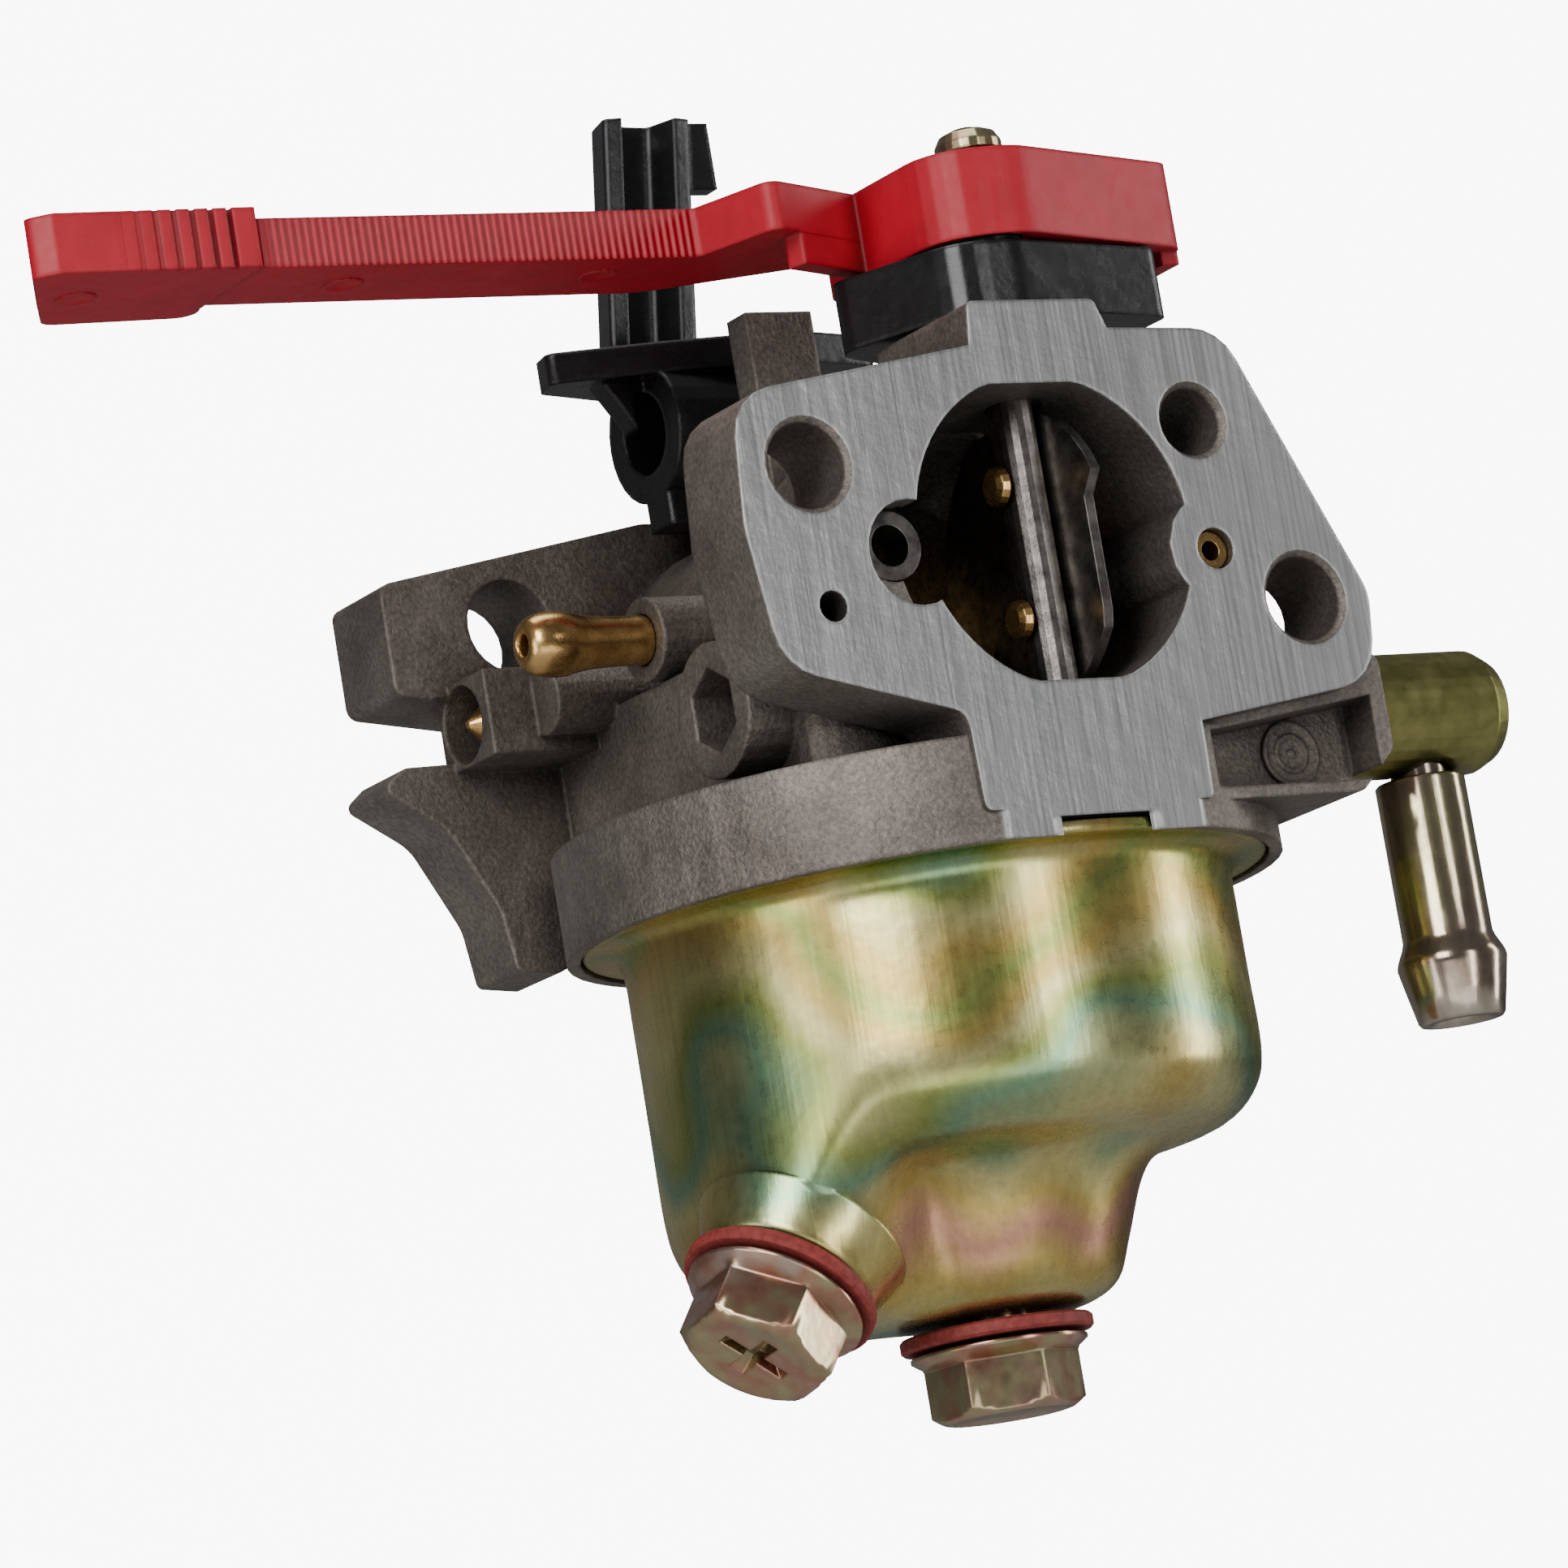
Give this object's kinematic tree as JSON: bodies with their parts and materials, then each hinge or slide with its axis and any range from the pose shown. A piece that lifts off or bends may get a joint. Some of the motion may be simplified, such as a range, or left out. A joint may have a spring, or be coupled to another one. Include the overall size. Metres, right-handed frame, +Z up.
{
  "type": "float bowl carburetor",
  "caption": "Small-engine float-bowl carburetor with red choke handle, black throttle lever, yellow-zinc bowl, drain bolt, fuel inlet tube and cast two-stud body.",
  "frame": {"origin": "centre of the bore on the engine face, where the two mounting studs clamp the body", "axes": "+Y along the bore towards the engine, +Z up away from the float bowl, +X towards the fuel inlet"},
  "size_m": [0.1092, 0.0549, 0.1036],
  "materials": {
    "casting": "die-cast skin, dark brownish grey, with milled faces",
    "bowl_zinc": "pressed steel with yellow-green iridescent zinc plating",
    "bolt_zinc": "zinc plated, pale pinkish gold",
    "fitting_zinc": "zinc plated, olive yellow",
    "tube_zinc": "bright zinc plated",
    "fibre": "dark red fibre",
    "rubber": "black rubber",
    "float_plastic": "black moulded plastic",
    "steel": "bright steel",
    "brass": "turned brass",
    "black_plastic": "black glass-filled nylon, glossy",
    "red_plastic": "dark red moulded plastic with ribbed grip"
  },
  "bodies": {
    "body": {"carburetor_body": "casting", "float_bowl": "bowl_zinc", "bowl_gasket": "rubber", "bowl_bolt": "bolt_zinc", "bowl_bolt_washer": "fibre", "drain_bolt": "bolt_zinc", "drain_bolt_washer": "fibre", "float_hinge_pin": "steel", "needle_seat": "brass", "main_jet": "brass", "emulsion_tube": "brass", "main_air_jet": "brass", "pilot_air_jet": "steel", "choke_shaft_seal": "rubber", "throttle_shaft_seal": "rubber", "fuel_inlet_fitting": "fitting_zinc", "fuel_hose_tube": "tube_zinc", "primer_nipple": "brass"},
    "choke": {"choke_shaft": "steel", "choke_plate": "steel", "choke_plate_screw_lower": "brass", "choke_plate_screw_upper": "brass", "choke_lever_base": "black_plastic", "choke_handle": "red_plastic", "choke_handle_screw": "bolt_zinc"},
    "throttle": {"throttle_shaft": "steel", "throttle_plate": "brass", "throttle_plate_screw_lower": "brass", "throttle_plate_screw_upper": "brass", "throttle_lever": "black_plastic"},
    "float": {"float": "float_plastic"},
    "needle": {"inlet_needle": "steel"},
    "mixture": {"mixture_screw": "brass"}
  },
  "joints": [
    {"name": "choke_turn", "type": "hinge", "parent": "body", "child": "choke", "pos_m": [0.0025, -0.0472, 0], "axis": [0, 0, 1], "range_deg": [0, 78]},
    {"name": "throttle_turn", "type": "hinge", "parent": "body", "child": "throttle", "pos_m": [0, -0.0127, 0], "axis": [0, 0, 1], "range_deg": [-16, 36]},
    {"name": "float_swing", "type": "hinge", "parent": "body", "child": "float", "pos_m": [0, -0.0113, -0.0246], "axis": [1, 0, 0], "range_deg": [0, 4]},
    {"name": "needle_lift", "type": "slide", "parent": "body", "child": "needle", "axis": [0, 0, -1], "range_m": [0, 0.0007]},
    {"name": "mixture_turn", "type": "hinge", "parent": "body", "child": "mixture", "pos_m": [-0.02, -0.0097, -0.0024], "axis": [1, 0, 0], "range_deg": [-180, 180]}
  ],
  "couplings": [
    {"joint": "needle_lift", "follows": "float_swing", "m_per_rad": 0.0084}
  ]
}
